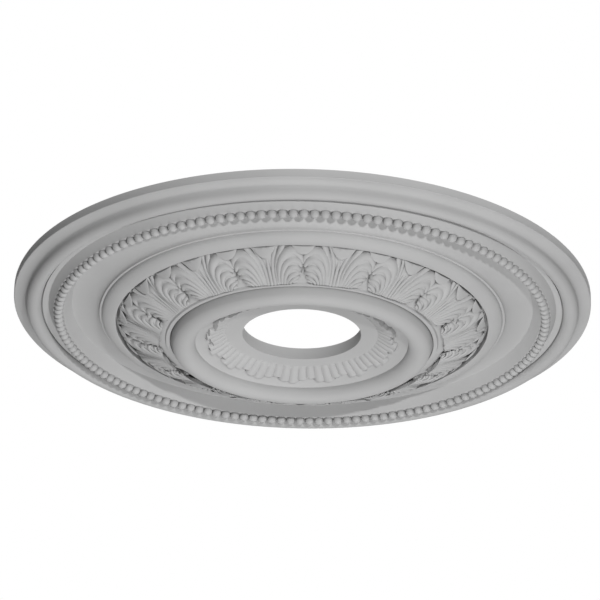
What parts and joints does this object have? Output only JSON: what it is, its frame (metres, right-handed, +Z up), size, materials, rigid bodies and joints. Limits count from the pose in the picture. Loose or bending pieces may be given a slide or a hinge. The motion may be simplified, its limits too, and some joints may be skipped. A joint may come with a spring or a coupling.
{
  "type": "ceiling rose",
  "caption": "Round moulded ceiling rose with a beaded ring, two rings of acanthus leaves, a half-round crown moulding and a bored centre plate, hollow behind.",
  "frame": {"origin": "centre of the flat back face, on the ceiling plane", "axes": "+Z up out of the back face into the ceiling, along the rose's axis; the moulded face looks down, -Z; +Y points away from the viewer who looks up at it"},
  "size_m": [0.75, 0.75, 0.0765],
  "materials": {
    "moulding": "matt primed"
  },
  "bodies": {
    "root": {"ceiling_rose": "moulding"}
  },
  "joints": []
}
